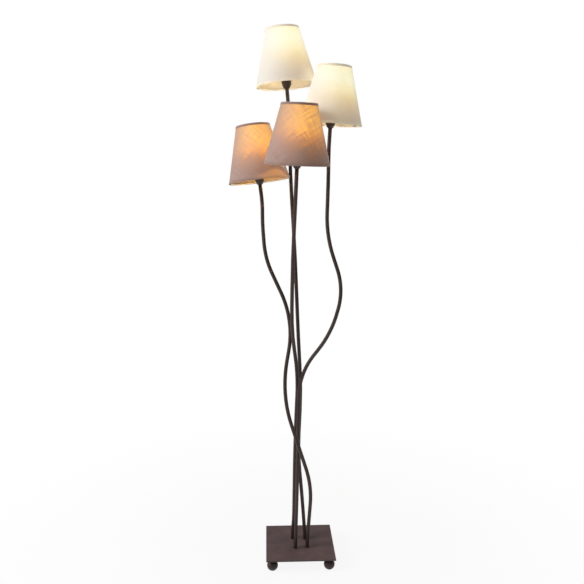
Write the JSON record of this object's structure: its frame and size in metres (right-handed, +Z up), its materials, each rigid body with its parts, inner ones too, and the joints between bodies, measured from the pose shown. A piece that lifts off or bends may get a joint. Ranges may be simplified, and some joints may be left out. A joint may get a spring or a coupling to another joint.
{
  "type": "tree floor lamp",
  "caption": "Floor lamp: bent tubular stems rise from a square steel plate on ball feet, each with a tapered round fabric shade that turns on its lampholder.",
  "frame": {"origin": "on the floor, below the middle of the whole lamp's footprint", "axes": "+Z up, -Y to the front, +X to the right as seen from the front"},
  "size_m": [0.3852, 0.3865, 1.6078],
  "materials": {
    "steel_dark": "dark bronze powder coat, satin",
    "ball_dark": "dark bronze lacquer, half gloss",
    "stem_dark": "dark bronze powder coat, satin",
    "rubber": "soft matt rubber",
    "zinc": "zinc plated",
    "black_plastic": "moulded, matt",
    "white_plastic": "moulded, matt",
    "holder_plastic": "heat-resistant moulding, off white",
    "flex": "flat two-core flex, brown",
    "cap_metal": "rolled thread cap",
    "opal_glass": "opal candle lamp",
    "linen_taupe": "taupe linen on a stiff lining",
    "linen_cream": "cream linen on a stiff lining",
    "hem_taupe": "taupe tape",
    "hem_cream": "cream tape",
    "wire_white": "white enamelled wire"
  },
  "bodies": {
    "stand": {"base_plate": "steel_dark", "foot_ball_front_left": "ball_dark", "foot_ball_front_right": "ball_dark", "foot_ball_back_left": "ball_dark", "foot_ball_back_right": "ball_dark", "foot_pads": "rubber", "foot_screws": "zinc", "stem_collars": "steel_dark", "stem_nipples": "zinc", "stem_nuts": "zinc", "wiring_cover": "steel_dark", "cover_screws": "zinc", "inlet_bush": "black_plastic", "terminal_block": "white_plastic", "head_nipples": "zinc", "stem_front": "stem_dark", "lead_front": "flex", "socket_cup_front": "stem_dark", "lampholder_front": "holder_plastic", "stem_left": "stem_dark", "lead_left": "flex", "socket_cup_left": "stem_dark", "lampholder_left": "holder_plastic", "stem_top": "stem_dark", "lead_top": "flex", "socket_cup_top": "stem_dark", "lampholder_top": "holder_plastic", "stem_right": "stem_dark", "lead_right": "flex", "socket_cup_right": "stem_dark", "lampholder_right": "holder_plastic"},
    "shade_body_front": {"shade_front": "linen_taupe", "shade_hems_front": "hem_taupe", "shade_rings_front": "wire_white", "shade_spider_front": "wire_white"},
    "clamp_ring_body_front": {"clamp_ring_front": "holder_plastic"},
    "lamp_body_front": {"lamp_cap_front": "cap_metal", "lamp_glass_front": "opal_glass"},
    "shade_body_left": {"shade_left": "linen_taupe", "shade_hems_left": "hem_taupe", "shade_rings_left": "wire_white", "shade_spider_left": "wire_white"},
    "clamp_ring_body_left": {"clamp_ring_left": "holder_plastic"},
    "lamp_body_left": {"lamp_cap_left": "cap_metal", "lamp_glass_left": "opal_glass"},
    "shade_body_top": {"shade_top": "linen_cream", "shade_hems_top": "hem_cream", "shade_rings_top": "wire_white", "shade_spider_top": "wire_white"},
    "clamp_ring_body_top": {"clamp_ring_top": "holder_plastic"},
    "lamp_body_top": {"lamp_cap_top": "cap_metal", "lamp_glass_top": "opal_glass"},
    "shade_body_right": {"shade_right": "linen_cream", "shade_hems_right": "hem_cream", "shade_rings_right": "wire_white", "shade_spider_right": "wire_white"},
    "clamp_ring_body_right": {"clamp_ring_right": "holder_plastic"},
    "lamp_body_right": {"lamp_cap_right": "cap_metal", "lamp_glass_right": "opal_glass"}
  },
  "joints": [
    {"name": "shade_turn_front", "type": "hinge", "parent": "stand", "child": "shade_body_front", "pos_m": [0.0008, -0.10239, 1.205], "axis": [0.0383, -0.061, 0.9974], "continuous": true},
    {"name": "clamp_ring_turn_front", "type": "hinge", "parent": "stand", "child": "clamp_ring_body_front", "pos_m": [0.0008, -0.10239, 1.205], "axis": [0.0383, -0.061, 0.9974], "continuous": true},
    {"name": "lamp_turn_front", "type": "hinge", "parent": "stand", "child": "lamp_body_front", "pos_m": [0.0008, -0.10239, 1.205], "axis": [0.0383, -0.061, 0.9974], "continuous": true},
    {"name": "shade_turn_left", "type": "hinge", "parent": "stand", "child": "shade_body_left", "pos_m": [-0.1022, 0.0485, 1.162], "axis": [-0.1182, 0.0624, 0.991], "continuous": true},
    {"name": "clamp_ring_turn_left", "type": "hinge", "parent": "stand", "child": "clamp_ring_body_left", "pos_m": [-0.1022, 0.0485, 1.162], "axis": [-0.1182, 0.0624, 0.991], "continuous": true},
    {"name": "lamp_turn_left", "type": "hinge", "parent": "stand", "child": "lamp_body_left", "pos_m": [-0.1022, 0.0485, 1.162], "axis": [-0.1182, 0.0624, 0.991], "continuous": true},
    {"name": "shade_turn_top", "type": "hinge", "parent": "stand", "child": "shade_body_top", "pos_m": [-0.0207, 0.10232, 1.4415], "axis": [-0.0854, 0.0209, 0.9961], "continuous": true},
    {"name": "clamp_ring_turn_top", "type": "hinge", "parent": "stand", "child": "clamp_ring_body_top", "pos_m": [-0.0207, 0.10232, 1.4415], "axis": [-0.0854, 0.0209, 0.9961], "continuous": true},
    {"name": "lamp_turn_top", "type": "hinge", "parent": "stand", "child": "lamp_body_top", "pos_m": [-0.0207, 0.10232, 1.4415], "axis": [-0.0854, 0.0209, 0.9961], "continuous": true},
    {"name": "shade_turn_right", "type": "hinge", "parent": "stand", "child": "shade_body_right", "pos_m": [0.1018, 0.016, 1.3215], "axis": [0.0575, -0.0279, 0.998], "continuous": true},
    {"name": "clamp_ring_turn_right", "type": "hinge", "parent": "stand", "child": "clamp_ring_body_right", "pos_m": [0.1018, 0.016, 1.3215], "axis": [0.0575, -0.0279, 0.998], "continuous": true},
    {"name": "lamp_turn_right", "type": "hinge", "parent": "stand", "child": "lamp_body_right", "pos_m": [0.1018, 0.016, 1.3215], "axis": [0.0575, -0.0279, 0.998], "continuous": true}
  ]
}
